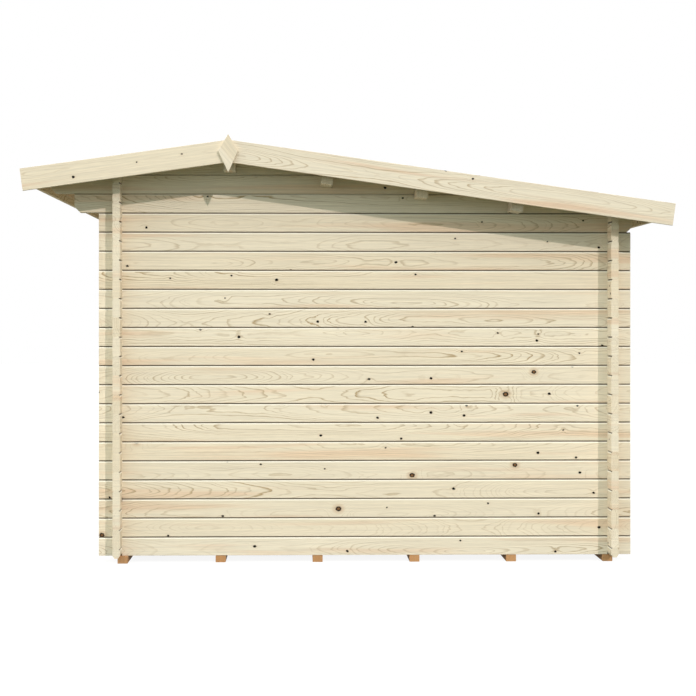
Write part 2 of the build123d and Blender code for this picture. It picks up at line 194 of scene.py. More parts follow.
# %% [markdown]
# ## Sky and floor
# The picture's background is plain white. Light Path tells what a ray is for, so the eye sees
# a white sky while the shed gets a dimmer one. The floor works the same way: to the eye it
# glows almost white and only takes the shed's shadow, and to the shed it is plain ground.

# %% What the eye sees
def seen_by_eye(add):
    """1 for rays from the eye, straight or by a mirror or through glass, and 0 for light."""
    path = add("ShaderNodeLightPath").node
    seen = add(MATH, (path.outputs["Is Camera Ray"], path.outputs["Is Glossy Ray"]), operation="MAXIMUM")
    return add(MATH, (seen, path.outputs["Is Transmission Ray"]), operation="MAXIMUM")


# %% Sky
SKY_STRENGTH = 0.79
SKY_COLOUR = "F0FBF3"
WHITE = "FFFFFF"
world = bpy.data.worlds.new("sky")
world.use_nodes = True
scene.world = world
world.node_tree.nodes.clear()
add = partial(add_node, world.node_tree)
sky = add("ShaderNodeBackground", {"Color": linear(SKY_COLOUR), "Strength": SKY_STRENGTH})
paper = add("ShaderNodeBackground", {"Color": linear(WHITE), "Strength": 1.0})
add("ShaderNodeOutputWorld", {"Surface": add("ShaderNodeMixShader", (seen_by_eye(add), sky, paper))})
scene.view_settings.view_transform = "Standard"
print("sky strength", SKY_STRENGTH)

# %% Floor
FLOOR_SIZE = 60
GROUND_COLOUR = "5E6350"
SHADOW_GREY = "666666"
FLOOR_GLOW = 0.90
bpy.ops.object.select_all(action="DESELECT")
bpy.ops.mesh.primitive_plane_add(size=FLOOR_SIZE, location=(0, 0, 0))
ground = bpy.context.object
ground.name = "studio_floor"
paint, add = start_material("matt_white_floor")
dull = add("ShaderNodeBsdfDiffuse", {"Color": linear(GROUND_COLOUR)})
matt = add("ShaderNodeBsdfDiffuse", {"Color": linear(SHADOW_GREY)})
glow = add("ShaderNodeEmission", {"Color": linear(WHITE), "Strength": FLOOR_GLOW})
white = add("ShaderNodeAddShader", (matt, glow))
add("ShaderNodeOutputMaterial", {"Surface": add("ShaderNodeMixShader", (seen_by_eye(add), dull, white))})
ground.data.materials.append(paint)

# %% [markdown]
# ## Planed spruce
# The timber is planed, untreated spruce: cream, with thin tan lines where the year rings meet
# the surface, small black knots, a few brown ones with a ring, and pinkish streaks. A picture
# of wood would repeat, so each board is cut out of its own tree. The object's directions are
# turned into the board's length, width and depth, and the width, counted in boards, gives the
# board's number. Dice thrown for it shift the board along its tree and choose its tone.

# %% A place on a board
OTHER_WALL = 40.0
TREE_LENGTH = 37.0
END_GRAIN_FACING = 0.7


def board_turn(along, across):
    """Rotation that turns the object's directions into a board's length, width and depth."""
    along = Vector(along).normalized()
    across = Vector(across).normalized()
    return Matrix((along, across, along.cross(across))).to_euler()


def board_place(add, along, across, pitch, start, middle, seed):
    """Where a point lies on its own board, and the dice that are thrown for that board."""
    place = add("ShaderNodeTexCoord", output="Object")
    turned = add("ShaderNodeMapping", {"Vector": place, "Rotation": board_turn(along, across)})
    length, width, depth = add("ShaderNodeSeparateXYZ", (turned,)).node.outputs
    boards = add(MATH, (width, 1 / pitch, -start / pitch), operation="MULTIPLY_ADD")
    number = add(MATH, (boards,), operation="FLOOR")
    number = add(MATH, (add(MATH, (depth,), operation="SIGN"), OTHER_WALL, number), operation="MULTIPLY_ADD")
    share = add(MATH, (boards,), operation="FRACT")
    sideways = add(MATH, (share, pitch, -pitch / 2), operation="MULTIPLY_ADD")
    inward = add(MATH, (add(MATH, (depth,), operation="ABSOLUTE"), middle), operation="SUBTRACT")
    throw = add(DICE, {"Vector": add(JOIN, (number, seed))}, noise_dimensions="2D", output="Color")
    dice = add("ShaderNodeSeparateColor", (throw,)).node.outputs
    run = add(MATH, (dice[0], TREE_LENGTH, length), operation="MULTIPLY_ADD")
    facing = add("ShaderNodeNewGeometry", output="Normal")
    endways = add(VECTOR, (facing, Vector(along).normalized()), operation="DOT_PRODUCT", output="Value")
    endways = add(MATH, (endways,), operation="ABSOLUTE")
    end_grain = add(MATH, (endways, END_GRAIN_FACING), operation="GREATER_THAN")
    return SimpleNamespace(turned=turned, number=number, share=share, sideways=sideways, inward=inward,
                           dice=dice, run=run, end_grain=end_grain, pitch=pitch, seed=seed)


# %% [markdown]
# ## Knots
# The board is divided into cells, and each holds one knot at most, of its own size. Most are
# small and nearly black, from dead branches, and one in twelve is larger, with a brown heart
# and a tan ring, from a live one. Noise makes the rim ragged. It adds about 4.5 mm to the
# distance, so a radius of 9 mm shows as 4 mm.

# %% Knots
KNOT_CELL = 300 * MM
KNOT_ROW = 105 * MM
ROWS_BETWEEN_BOARDS = 7.0
KNOT_SHORTENING = 0.8
RAGGEDNESS = 9 * MM
RAGS_PER_METRE = 110.0
KNOT_RADIUS = 8.8 * MM
KNOT_RADIUS_SPREAD = 3.6 * MM
LARGE_KNOT_EXTRA = 6.5 * MM
LARGE_KNOT_THROW = 0.92
# Fades from outside to inside, in radii
RIM_FADE = (1.15, 0.85)
HEART_FADE = (0.78, 0.5)
RING_FADE = (2.4, 1.0)
SWIRL_FADE = (5.0, 0.8)
RING_TINT = 0.08
LARGE_RING_TINT = 0.30


def knot_pattern(add, board, knots):
    """Shares of a knot's dark rim, brown heart and tan ring, and how far it bends the grain."""
    row = add(MATH, (board.sideways, KNOT_ROW), operation="DIVIDE")
    row = add(MATH, (board.number, ROWS_BETWEEN_BOARDS, row), operation="MULTIPLY_ADD")
    spots = add(JOIN, (add(MATH, (board.run, KNOT_CELL), operation="DIVIDE"), row))
    cells = add("ShaderNodeTexVoronoi", {"Vector": spots, "Scale": 1.0}, voronoi_dimensions="2D").node
    offset = add(VECTOR, (spots, cells.outputs["Position"]), operation="SUBTRACT")
    offset = add(VECTOR, (offset, (KNOT_CELL * KNOT_SHORTENING, KNOT_ROW, 0)), operation="MULTIPLY")
    ragged = add(NOISE, {"Vector": board.turned, "Scale": RAGS_PER_METRE})
    distance = add(VECTOR, (offset,), operation="LENGTH", output="Value")
    distance = add(MATH, (ragged, RAGGEDNESS, distance), operation="MULTIPLY_ADD")
    chance, size, kind = add("ShaderNodeSeparateColor", (cells.outputs["Color"],)).node.outputs
    present = add(MATH, (chance, knots), operation="LESS_THAN")
    present = add(MATH, (present, board.end_grain), operation="SUBTRACT", use_clamp=True)
    large = add(MATH, (kind, LARGE_KNOT_THROW), operation="GREATER_THAN")
    radius = add(MATH, (size, KNOT_RADIUS_SPREAD, KNOT_RADIUS), operation="MULTIPLY_ADD")
    radius = add(MATH, (large, LARGE_KNOT_EXTRA, radius), operation="MULTIPLY_ADD")
    nearness = add(MATH, (distance, radius), operation="DIVIDE")
    rim = add(RANGE, (nearness, *RIM_FADE, 0, present), interpolation_type="SMOOTHSTEP")
    heart = add(RANGE, (nearness, *HEART_FADE, 0, large), interpolation_type="SMOOTHSTEP")
    heart = add(MATH, (heart, present), operation="MULTIPLY")
    ring = add(RANGE, (nearness, *RING_FADE, 0, present), interpolation_type="SMOOTHSTEP")
    tint = add(MATH, (large, LARGE_RING_TINT, RING_TINT), operation="MULTIPLY_ADD")
    ring = add(MATH, (ring, tint), operation="MULTIPLY")
    swirl = add(RANGE, (nearness, *SWIRL_FADE, 0, present), interpolation_type="SMOOTHERSTEP")
    return SimpleNamespace(rim=rim, heart=heart, ring=ring, swirl=swirl, large=large)


# %% [markdown]
# ## Year rings
# A tree lays down pale early wood in spring and a thin dark line of late wood in summer. The
# rings are circles about the tree's heart line, which wanders beside and inside the board, so
# faces show nested flames and ends show arcs. Real rings are 2 to 4 mm apart. They are drawn
# 5.5 mm apart, because finer ones would melt into an even tone at the picture's 6 mm a pixel.

# %% Heart line
WANDER_PER_METRE = 0.5
BOARDS_APART = 3.7
# Metres that the board's dice and the slow noise move the heart line by, and where it starts
HEART_SIDEWAYS = (0.09, 0.10, -0.095)
HEART_INWARD = (0.05, 0.34, -0.14)


def heart_distance(add, board):
    """Distance of a point from the heart line, and the noise that tells where wood is plain."""
    along = add(MATH, (board.run, WANDER_PER_METRE), operation="MULTIPLY")
    aside = add(MATH, (board.number, BOARDS_APART), operation="MULTIPLY")
    slow = add(JOIN, (along, aside, board.seed))
    wander = add(NOISE, {"Vector": slow, "Scale": 1.0, "Roughness": 0.4}, output="Color")
    drift, sink, calm = add("ShaderNodeSeparateColor", (wander,)).node.outputs
    by_dice, by_noise, begin = HEART_SIDEWAYS
    heart_side = add(MATH, (drift, by_noise, begin), operation="MULTIPLY_ADD")
    heart_side = add(MATH, (board.dice[1], by_dice, heart_side), operation="MULTIPLY_ADD")
    by_dice, by_noise, begin = HEART_INWARD
    heart_in = add(MATH, (sink, by_noise, begin), operation="MULTIPLY_ADD")
    heart_in = add(MATH, (board.dice[2], by_dice, heart_in), operation="MULTIPLY_ADD")
    across_heart = add(JOIN, (add(MATH, (board.sideways, heart_side), operation="SUBTRACT"),
                              add(MATH, (board.inward, heart_in), operation="ADD")))
    return add(VECTOR, (across_heart,), operation="LENGTH", output="Value"), calm


# %% Late wood
RING_SPACING = 5.5 * MM
# Waves in the rings: 140 mm long and 33 mm wide, and 8 mm high
WAVES_PER_METRE = (7.0, 30.0, 30.0)
WAVE_HEIGHT = 8 * MM
KNOT_PUSH = 4 * MM
LARGE_KNOT_PUSH = 10 * MM
GOOD_YEARS = 0.23
GOOD_YEARS_REACH = 3.0
# Shares of a year at which late wood begins, is full, starts to end and ends
LATE_RISE = (0.66, 0.92)
LATE_FALL = (0.93, 1.0)
WEAKEST_YEAR = 0.3
STRONGEST_YEAR = 1.15
CALM_SPAN = (0.38, 0.62)
PLAINEST = 0.25


def late_wood(add, board, knot):
    """Share of late wood: dark where a year ends, pushed aside by knots, fainter in calm places."""
    rings, calm = heart_distance(add, board)
    waves = stretched_noise(add, board.turned, WAVES_PER_METRE)
    rings = add(MATH, (waves, WAVE_HEIGHT, rings), operation="MULTIPLY_ADD")
    push = add(MATH, (knot.large, LARGE_KNOT_PUSH, KNOT_PUSH), operation="MULTIPLY_ADD")
    rings = add(MATH, (knot.swirl, push, rings), operation="MULTIPLY_ADD")
    years = add(MATH, (rings, RING_SPACING), operation="DIVIDE")
    weather = add(MATH, (years, GOOD_YEARS, board.dice[0]), operation="MULTIPLY_ADD")
    weather = add(NOISE, {"W": weather, "Scale": 1.0}, noise_dimensions="1D")
    years = add(MATH, (weather, GOOD_YEARS_REACH, years), operation="MULTIPLY_ADD")
    season = add(MATH, (years,), operation="FRACT")
    late = add(RANGE, (season, *LATE_RISE, 0, 1), interpolation_type="SMOOTHSTEP")
    late = add(MATH, (late, add(RANGE, (season, *LATE_FALL, 1, 0))), operation="MULTIPLY")
    year = add(MATH, (add(MATH, (years,), operation="FLOOR"), board.dice[0]), operation="ADD")
    strength = add(DICE, {"W": year}, noise_dimensions="1D", output="Value")
    strength = add(RANGE, (strength, 0, 1, WEAKEST_YEAR, STRONGEST_YEAR))
    plain = add(RANGE, (calm, *CALM_SPAN, PLAINEST, 1.0), interpolation_type="SMOOTHSTEP")
    marked = add(MATH, (strength, plain), operation="MULTIPLY")
    return add(MATH, (late, marked), operation="MULTIPLY")


# %% [markdown]
# ## Streaks and joints
# Between the rings lie soft streaks, lighter and darker, wide pinkish washes, and fibres
# drawn as threads about 2 mm wide. At a log's joint the bevels make a thin dark line with a
# bright one under it. Both are thinner than a pixel, so painted shade in the joint and a
# painted highlight on the bevel under it help them.

# %% Streaks
# Scales along, across and into the board: 450 by 10 mm, 1400 by 70 mm and 60 by 2 mm
STREAKS_PER_METRE = (2.2, 95.0, 1.0)
WASHES_PER_METRE = (0.7, 14.0, 1.9)
FIBRES_PER_METRE = (16.0, 420.0, 420.0)
NOISE_SPAN = (0.3, 0.7)
STREAK_LEVELS = (0.90, 1.07)
FIBRE_LEVELS = (0.95, 1.04)
BOARD_LEVELS = (0.97, 1.02)
PINK_SPAN = (0.52, 0.72)
PINK_MOST = 0.45


def streak_pattern(add, board):
    """Brightness of the wood, its share of pink, and the fibres that a hand would feel."""
    spot = add(JOIN, (board.run, board.sideways, board.number))
    streaks = stretched_noise(add, spot, STREAKS_PER_METRE, Detail=3.0, Roughness=0.6)
    washes = stretched_noise(add, spot, WASHES_PER_METRE)
    pink = add(RANGE, (washes, *PINK_SPAN, 0, PINK_MOST), interpolation_type="SMOOTHSTEP")
    fibres = stretched_noise(add, board.turned, FIBRES_PER_METRE)
    level = add(RANGE, (streaks, *NOISE_SPAN, *STREAK_LEVELS))
    level = add(MATH, (level, add(RANGE, (fibres, *NOISE_SPAN, *FIBRE_LEVELS))), operation="MULTIPLY")
    level = add(MATH, (level, add(RANGE, (board.dice[1], 0, 1, *BOARD_LEVELS))), operation="MULTIPLY")
    return level, pink, fibres


# %% Joints
# The bands are painted light: shade where a joint lies in shadow, and a highlight where sun falls on the
# lower log's top bevel
# Bands in metres: above a joint from it, and below a joint back from the next one
SHADE_ABOVE = (0.5 * MM, 2.0 * MM)
SHADE_BELOW = (7.5 * MM, 6.0 * MM)
HIGHLIGHT_BELOW = (14.5 * MM, 11.5 * MM)


def joint_lines(add, board, joint):
    """Shares of the painted shade in a joint and of the painted highlight on the bevel under it; joint is
    their strength.
    """
    from_joint = add(MATH, (board.share, board.pitch), operation="MULTIPLY")
    shown = add(MATH, (joint, board.end_grain), operation="SUBTRACT", use_clamp=True)
    above = add(RANGE, (from_joint, *SHADE_ABOVE, 1, 0))
    below = add(RANGE, (from_joint, *[board.pitch - back for back in SHADE_BELOW], 0, 1))
    shade = add(MATH, (add(MATH, (above, below), operation="MAXIMUM"), shown), operation="MULTIPLY")
    # Painted highlight on the lower log's top bevel, where the sun falls
    bevel_highlight = add(RANGE, (from_joint, *[board.pitch - back for back in HIGHLIGHT_BELOW], 0, shown))
    return shade, bevel_highlight


# %% [markdown]
# ## The finished spruce
# The tones are laid over each other, from the board's own cream to the knots, and last the painted shade and
# highlight at the joints.
# Planing leaves the wood dull with a faint sheen, so roughness is high and the highlight weak.
# Late wood is harder and stands up a little, which the bump gives. Pressure treatment turns
# the bearers brown.

# %% Tones of the timbers
# Each look holds cream, a warmer cream, the year ring's line and the pink streak
PLANED = ("F0E5D2", "EADCC5", "B09670", "E2BA98")
TRIM = ("E9DECC", "E5D6BE", "B09570", "DFAE8A")
ROOFING = ("DBCDB2", "D3BFA0", "A78C68", "CDA680")
TREATED = ("CFA074", "C08E60", "8F6440", "B67C50")
KNOT_DARK = "0E0804"
KNOT_BROWN = "7E5A3C"
KNOT_RING = "B98A58"
# Painted shade in a log joint, and a painted highlight on the bevel under it
JOINT_SHADOW = "4E3A1A"
PAINTED_BEVEL_HIGHLIGHT = "FFFAEE"

# %% Spruce
PLANED_ROUGHNESS = 0.70
WOOD_IOR = 1.45
WOOD_HIGHLIGHT = 0.2
LATE_RELIEF = 0.5
FIBRE_RELIEF = 0.6
RELIEF_HEIGHT = 0.6 * MM
RELIEF_STRENGTH = 0.4


def spruce(name, along, across, pitch, start, middle, seed, tones=PLANED, knots=0.42, lines=0.9, joint=0.0):
    """Spruce boards: pitch and start are the boards' width and first joint, middle is their depth."""
    material, add = start_material(name)
    board = board_place(add, along, across, pitch, start, middle, seed)
    knot = knot_pattern(add, board, knots)
    late = late_wood(add, board, knot)
    level, pink, fibres = streak_pattern(add, board)
    shade, bevel_highlight = joint_lines(add, board, joint)
    late_share = add(MATH, (late, lines), operation="MULTIPLY")
    # A Mix node's sockets share their names, so they go by number: 6 and 7 are mixed into 2
    tone = linear(tones[0])
    for share, colour in ((board.dice[2], tones[1]), (pink, tones[3]), (late_share, tones[2])):
        tone = add(MIX, {0: share, 6: tone, 7: linear(colour)}, output=2, data_type="RGBA")
    tone = add("ShaderNodeHueSaturation", {"Value": level, "Color": tone})
    # Last comes the painted light at the joints: a highlight on the bevel under each joint, then shade in the
    # joint
    for share, colour in ((knot.ring, KNOT_RING), (knot.rim, KNOT_DARK), (knot.heart, KNOT_BROWN),
                          (bevel_highlight, PAINTED_BEVEL_HIGHLIGHT), (shade, JOINT_SHADOW)):
        tone = add(MIX, {0: share, 6: tone, 7: linear(colour)}, output=2, data_type="RGBA")
    relief = add(MATH, (fibres, FIBRE_RELIEF), operation="MULTIPLY")
    relief = add(MATH, (late, LATE_RELIEF, relief), operation="MULTIPLY_ADD")
    bump = add("ShaderNodeBump", {"Height": relief, "Strength": RELIEF_STRENGTH, "Distance": RELIEF_HEIGHT})
    surface = add("ShaderNodeBsdfPrincipled", {"Base Color": tone, "Roughness": PLANED_ROUGHNESS,
                                               "IOR": WOOD_IOR, "Specular IOR Level": WOOD_HIGHLIGHT,
                                               "Normal": bump})
    add("ShaderNodeOutputMaterial", {"Surface": surface})
    return material


# %% [markdown]
# ## Finishes on the solids
# Grain follows how a timber lies, so each group of solids gets its own spruce, turned to the
# timbers' length and cut at their real joints. Side walls start with a whole log, and front
# and back walls with half a log, which locks the corners. The seed numbers keep the trees
# apart, and a width far over the timber's own makes it a single board.

# %% Dressing a solid
def dress(material, *names):
    """Give a finish to whole nodes."""
    for name in names:
        mesh = nodes[name].data
        mesh.materials.clear()
        mesh.materials.append(material)
    print(material.name, "on", len(names), "nodes")


# %% Log walls
# Under the overhang no sun casts a line into the joints or lights their bevels, so the painted shade and
# highlight are fainter there
JOINT_IN_SUN = 0.8
JOINT_IN_SHADE = 0.35
half_log = WALL_BOTTOM + LOG_HEIGHT / 2
side_middle = (abs(side_low.y) + abs(side_high.y)) / 2
front_middle = abs(front_low.x + front_high.x) / 2
back_middle = abs(back_low.x + back_high.x) / 2
side_logs = spruce("side_logs_planed_spruce", BACKWARDS, UP, LOG_HEIGHT, WALL_BOTTOM, side_middle, 1.3,
                   joint=JOINT_IN_SUN)
dress(side_logs, "right_side_wall", "left_side_wall")
gable_logs = spruce("gable_logs_planed_spruce", BACKWARDS, UP, LOG_HEIGHT, WALL_BOTTOM, side_middle, 1.3,
                    joint=JOINT_IN_SHADE)
dress(gable_logs, *[f"{side}_{part}" for side in ("right", "left")
                    for part in ("lower_bracket_log", "upper_bracket_log", "gable_top")])
front_logs = spruce("front_logs_planed_spruce", LEFTWARDS, UP, LOG_HEIGHT, half_log, front_middle, 2.3,
                    joint=JOINT_IN_SUN)
dress(front_logs, "front_sill_log", "front_wall_right", "front_wall_left", "front_wall_top")
back_logs = spruce("back_logs_planed_spruce", LEFTWARDS, UP, LOG_HEIGHT, half_log, back_middle, 3.3,
                   joint=JOINT_IN_SUN)
dress(back_logs, "back_wall")

# %% Roof trim, door frame and bearers
SINGLE_BOARD = 300 * MM
KITE_BOARD = 1.0
KITE_GRAIN = Vector((1, 0, -1.2))
KITE_ACROSS = Vector((1.2, 0, 1))
EAVE_JOINT = 2.0
PURLIN_SPACING = 560 * MM
PURLIN_JOINT = RIDGE_X - 250 * MM
PURLIN_DEPTH = 2.2
DOOR_BOARD = 105 * MM
BEARER_JOINT = FRONT_FACE - 100 * MM
barge_middle = abs(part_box("right_front_barge_board")[0].y)
for slope, side, seed in (("front", -1, 4.3), ("back", 1, 5.3)):
    lower_edge = ridge_point.dot(off_slope[side]) - BARGE_WIDTH
    barge_wood = spruce(f"{slope}_barge_planed_spruce", down_slope[side], off_slope[side], BARGE_WIDTH,
                        lower_edge, barge_middle, seed, TRIM, knots=0.6, lines=0.6)
    dress(barge_wood, f"right_{slope}_barge_board", f"left_{slope}_barge_board")
kite_wood = spruce("finial_planed_spruce", KITE_GRAIN, KITE_ACROSS, KITE_BOARD, KITE_BOARD, barge_middle, 6.3,
                   TRIM, knots=0.0, lines=0.5)
dress(kite_wood, "right_finial", "left_finial")
EAVE_BOARDS = ("front_eave_board", "back_eave_board")
eave_wood = spruce("eave_board_planed_spruce", LEFTWARDS, UP, SINGLE_BOARD, EAVE_JOINT, 0.0, 7.3, TRIM)
dress(eave_wood, *EAVE_BOARDS)
PURLINS = ("ridge_purlin", "purlin_1", "purlin_2", "purlin_3")
purlin_wood = spruce("purlins_planed_spruce", LEFTWARDS, BACKWARDS, PURLIN_SPACING, PURLIN_JOINT,
                     PURLIN_DEPTH, 8.3, TRIM)
dress(purlin_wood, *PURLINS)
door_wood = spruce("door_planed_spruce", UP, LEFTWARDS, DOOR_BOARD, 0.0, front_middle, 9.3, TRIM, knots=0.2)
dress(door_wood, "door_threshold", "door_head", "right_door_jamb", "left_door_jamb",
      "right_door_leaf", "left_door_leaf")
bearer_wood = spruce("bearers_treated_pine", LEFTWARDS, BACKWARDS, SINGLE_BOARD, BEARER_JOINT, 0.0, 10.3,
                     TREATED)
BEARERS = [f"bearer_{number}" for number in range(1, 7)]
dress(bearer_wood, *BEARERS)

# %% [markdown]
# ## Shaping by hand
# Every added piece starts as a primitive at its size and place, and is shaped in edit mode. An
# operator works on what is selected, so a helper selects edges or faces by where their middle
# lies and which way they point. Pieces that repeat are made once, then copied or arrayed.

# %% Selecting pieces
def activate(*pieces):
    """Select only these pieces, and make the first one active."""
    bpy.ops.object.select_all(action="DESELECT")
    for piece in pieces:
        piece.select_set(True)
    bpy.context.view_layer.objects.active = pieces[0]


# %% Starting a block
def start_block(name, low, high):
    """Add a cube that fills the space between two corners, with its place in its mesh."""
    low, high = Vector(low), Vector(high)
    bpy.ops.object.select_all(action="DESELECT")
    bpy.ops.mesh.primitive_cube_add(size=1, location=(low + high) / 2)
    piece = bpy.context.object
    piece.name = name
    piece.scale = high - low
    bpy.ops.object.transform_apply()
    return piece


# %% Starting a round bar
def start_bar(name, place, axis, radius, length, sides=24):
    """Add a cylinder along an axis, centred on a place."""
    bpy.ops.object.select_all(action="DESELECT")
    turn = Vector(axis).to_track_quat("Z", "Y").to_euler()
    bpy.ops.mesh.primitive_cylinder_add(vertices=sides, radius=radius, depth=length, location=place,
                                        rotation=turn)
    piece = bpy.context.object
    piece.name = name
    bpy.ops.object.transform_apply()
    return piece


# %% Edit mode
@contextmanager
def edit_mode():
    """Open the active piece in edit mode, and close it afterwards."""
    bpy.ops.object.mode_set(mode="EDIT")
    yield
    bpy.ops.object.mode_set(mode="OBJECT")


# %% Selecting by place and direction
def pick(kind, test):
    """Select the edges or faces whose middle and direction pass a test."""
    bpy.ops.mesh.select_mode(type={"edges": "EDGE", "faces": "FACE"}[kind])
    bpy.ops.mesh.select_all(action="DESELECT")
    mesh = bmesh.from_edit_mesh(bpy.context.object.data)
    for item in getattr(mesh, kind):
        ends = [corner.co for corner in item.verts]
        middle = sum(ends, Vector()) / len(ends)
        pointing = item.normal if kind == "faces" else (ends[1] - ends[0]).normalized()
        item.select_set(bool(test(middle, pointing)))
    mesh.select_flush_mode()
    bmesh.update_edit_mesh(bpy.context.object.data)


# %% Cutting, rounding and pushing
TINY = 0.01 * MM


def slice_at(point, normal, keep_all=True):
    """Cut the whole mesh by a plane, and close it where the side that the normal shows goes."""
    bpy.ops.mesh.select_all(action="SELECT")
    bpy.ops.mesh.bisect(plane_co=point, plane_no=normal, use_fill=not keep_all, clear_outer=not keep_all)


def round_edges(width, segments, test):
    """Bevel the edges that pass a test."""
    pick("edges", test)
    bpy.ops.mesh.bevel(offset=width, segments=segments, affect="EDGES")


def push_faces(shift, test):
    """Extrude the faces that pass a test."""
    pick("faces", test)
    bpy.ops.mesh.extrude_region_move(TRANSFORM_OT_translate={"value": shift})


# %% Rows and copies
def repeat(piece, count, step):
    """Array a piece along a step, and apply the modifier."""
    array = piece.modifiers.new("row", "ARRAY")
    array.count = count
    array.use_relative_offset = False
    array.use_constant_offset = True
    array.constant_offset_displace = step
    activate(piece)
    bpy.ops.object.modifier_apply(modifier=array.name)


def place_copy(piece, place, turn=(0, 0, 0)):
    """Copy a piece with its own mesh, put it in place, and apply that to its mesh."""
    twin = piece.copy()
    twin.data = piece.data.copy()
    scene.collection.objects.link(twin)
    activate(twin)
    twin.location = place
    twin.rotation_euler = turn
    bpy.ops.object.transform_apply()
    return twin


# %% Joining and handing over
def join(name, pieces):
    """Join pieces into one object."""
    activate(*pieces)
    if len(pieces) > 1:
        bpy.ops.object.join()
    pieces[0].name = name
    return pieces[0]


def hand_over(piece, slot, *replaced):
    """Fix a piece to the shed, hide the solids that it stands for, and look for holes in its mesh."""
    piece.data.name = piece.name
    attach(piece, "root")
    if replaced:
        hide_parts(*replaced)
    shell = bmesh.new()
    shell.from_mesh(piece.data)
    open_edges = sum(1 for edge in shell.edges if len(edge.link_faces) != 2)
    shell.free()
    print(piece.name, "faces", len(piece.data.polygons), "open edges", open_edges)


# %% [markdown]
# ## Boards of the roof and the floor
# The roof and the floor are spruce boards with tongue and groove, about 97 mm wide and 19 mm
# thick, bevelled to a V where the joints show. One board is made longer than needed: its lower
# edges are bevelled, a strip of one edge is pulled out as the tongue, and one of the other edge
# is pushed in as the groove. Its ends are then cut, plumb at the ridge and square at the eave.
# An array lays the boards side by side, and the last one loses its tongue.

# %% One board
BOARD_COVER = 97 * MM
BOARD_VEE = 3 * MM
TONGUE_HALF = 3 * MM
TONGUE_REACH = 6 * MM
GROOVE_DEPTH = 7 * MM
BOARD_GAP = 1 * MM
SPARE = 30 * MM


def matchboard(length, cover, vee_side, end_cuts):
    """Tongued and grooved board along X, its top at zero; vee_side is -1 below and 1 above."""
    board = start_block("board", (-SPARE, 0, -BOARD_THICKNESS), (length + SPARE, cover - BOARD_GAP, 0))
    vee_level = 0 if vee_side > 0 else -BOARD_THICKNESS
    half_way = -BOARD_THICKNESS / 2
    with edit_mode():
        round_edges(BOARD_VEE, 1, lambda middle, way: abs(way.x) > 0.9 and abs(middle.z - vee_level) < TINY)
        for edge in (-TONGUE_HALF, TONGUE_HALF):
            slice_at((0, 0, half_way + edge), UP)
        for side, reach in ((1, TONGUE_REACH), (-1, GROOVE_DEPTH)):
            push_faces((0, reach, 0), lambda middle, facing: side * facing.y > 0.9
                       and abs(middle.z - half_way) < TONGUE_HALF)
        for point, facing in end_cuts:
            slice_at(point, facing, keep_all=False)
    return board


def lay_boards(board, count, cover):
    """Repeat a board, and rip off the tongue of the last one."""
    repeat(board, count, (0, cover, 0))
    with edit_mode():
        slice_at((0, count * cover, 0), LEFTWARDS, keep_all=False)
    print(count, "boards, each covering", round(cover, 4))


# %% Roof boarding
ROOF_HALF_WIDTH = back_roof_high.y
roof_board_count = round(2 * ROOF_HALF_WIDTH / BOARD_COVER)
roof_cover = 2 * ROOF_HALF_WIDTH / roof_board_count


def slope_turn(side):
    """Rotation that lays a piece made along X on a slope."""
    return (0, PITCH, 0 if side > 0 else math.pi)


def roof_boarding(slope, side, eave_x):
    """Boards of one slope, cut at the ridge and the eave."""
    run = abs(eave_x - RIDGE_X) / math.cos(PITCH)
    plumb = (-math.cos(PITCH), 0, -math.sin(PITCH))
    board = matchboard(run, roof_cover, -1, (((0, 0, 0), plumb), ((run, 0, 0), BACKWARDS)))
    lay_boards(board, roof_board_count, roof_cover)
    boarding = place_copy(board, (RIDGE_X, -side * ROOF_HALF_WIDTH, RIDGE_TOP), slope_turn(side))
    bpy.data.objects.remove(board)
    boarding.name = f"{slope}_roof_boarding"
    depth = ridge_point.dot(off_slope[side]) - BOARD_THICKNESS / 2
    wood = spruce(f"{slope}_roof_planed_spruce", down_slope[side], LEFTWARDS, roof_cover, -ROOF_HALF_WIDTH,
                  abs(depth), 11.3 + side, ROOFING, knots=0.5)
    boarding.data.materials.append(wood)
    hand_over(boarding, "roof_and_floor_board", f"{slope}_roof_boards")


roof_boarding("front", -1, front_roof_low.x)
roof_boarding("back", 1, back_roof_high.x)

# %% Floor boarding
floor_width = floor_high.y - floor_low.y
floor_length = floor_high.x - floor_low.x
floor_board_count = round(floor_width / BOARD_COVER)
floor_cover = floor_width / floor_board_count
floor_ends = (((0, 0, 0), -BACKWARDS), ((floor_length, 0, 0), BACKWARDS))
floor_board = matchboard(floor_length, floor_cover, 1, floor_ends)
lay_boards(floor_board, floor_board_count, floor_cover)
floor_boarding = place_copy(floor_board, (floor_low.x, floor_low.y, floor_high.z))
bpy.data.objects.remove(floor_board)
floor_boarding.name = "floor_boarding"
floor_wood = spruce("floor_planed_spruce", BACKWARDS, LEFTWARDS, floor_cover, floor_low.y, floor_low.z, 12.3,
                    ROOFING)
floor_boarding.data.materials.append(floor_wood)
hand_over(floor_boarding, "roof_and_floor_board", "floor_boards")

# %% [markdown]
# ## Bright steel
# Nails, screws and hinges are steel with a thin zinc coat, and the handle is brushed steel.
# Metal shows its colour in the highlight alone. Zinc settles in clouds, which the eye sees as
# patches of lighter grey and softer gloss, and brushing stretches the highlight.

# %% Zinc and satin steel
CLOUDS_PER_METRE = 60.0
SCRATCHES_PER_METRE = (900.0, 900.0, 40.0)
CLOUD_LEVELS = (0.88, 1.08)
CLOUD_GLOSS = (-0.06, 0.08)
SCRATCH_DEPTH = 0.1 * MM
SCRATCH_STRENGTH = 0.25


